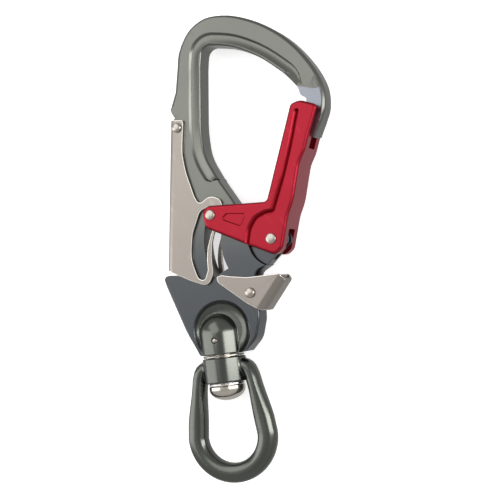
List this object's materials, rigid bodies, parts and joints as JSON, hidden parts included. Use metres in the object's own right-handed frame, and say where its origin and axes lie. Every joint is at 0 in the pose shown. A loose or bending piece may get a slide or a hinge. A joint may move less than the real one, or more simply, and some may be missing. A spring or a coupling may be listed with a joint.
{
  "type": "swivel snap hook",
  "caption": "Palm-lever swivel snap hook: a grey forged D frame with a red gate, a folded steel lever and thumb catch, and a swivel eye.",
  "frame": {"origin": "under the middle of the hook's bounding box, on its lowest point as it lies flat", "axes": "+Y along the swivel's axis towards the bow, +X from the spine to the gate, +Z out of the face"},
  "size_m": [0.0931, 0.2291, 0.0228],
  "materials": {
    "grey_anodised": "forged, tumbled and grey anodised, semi-gloss",
    "red_anodised": "red anodised, satin",
    "satin_stainless": "satin rolled sheet",
    "rivet_steel": "turned, slightly worn",
    "spring_steel": "drawn wire",
    "polished_steel": "polished",
    "bronze": "sintered bronze"
  },
  "bodies": {
    "body": {"hook_body": "grey_anodised", "gate_rivet": "rivet_steel", "gate_sleeve": "rivet_steel", "gate_spring": "spring_steel", "lever_rivet": "rivet_steel", "lever_sleeve": "rivet_steel", "lever_spring": "spring_steel", "catch_rivet": "rivet_steel", "catch_sleeve": "rivet_steel", "catch_spring": "spring_steel", "swivel_bolt": "polished_steel", "bolt_lock_pin": "rivet_steel", "collar_washer": "polished_steel", "head_washer": "polished_steel"},
    "gate": {"gate": "red_anodised", "drive_pin": "rivet_steel", "pin_roller": "rivet_steel"},
    "lever": {"palm_lever": "satin_stainless"},
    "catch": {"thumb_catch": "satin_stainless"},
    "eye": {"swivel_eye": "grey_anodised", "swivel_bush": "bronze"}
  },
  "joints": [
    {"name": "gate_swing", "type": "hinge", "parent": "body", "child": "gate", "pos_m": [0.01252, 0.00128, 0.0114], "axis": [0, 0, 1], "range_deg": [0, 42], "stiffness_Nm_per_rad": 0.2, "springref_deg": -34.38, "deforming": ["gate_spring"]},
    {"name": "lever_squeeze", "type": "hinge", "parent": "body", "child": "lever", "pos_m": [-0.03048, 0.06228, 0.0114], "axis": [0, 0, 1], "range_deg": [0, 6], "stiffness_Nm_per_rad": 0.1, "springref_deg": -34.38, "deforming": ["lever_spring"]},
    {"name": "catch_press", "type": "hinge", "parent": "body", "child": "catch", "pos_m": [-0.00218, -0.02312, 0.0114], "axis": [0, 0, 1], "range_deg": [0, 25.5], "stiffness_Nm_per_rad": 0.01, "springref_deg": -34.38, "deforming": ["catch_spring"]},
    {"name": "eye_swivel", "type": "hinge", "parent": "body", "child": "eye", "pos_m": [-0.02238, -0.05132, 0.0114], "axis": [0, 1, 0], "continuous": true}
  ],
  "couplings": [
    {"joint": "lever_squeeze", "follows": "gate_swing", "ratio": 0.14},
    {"joint": "catch_press", "follows": "gate_swing", "ratio": 0.6}
  ]
}
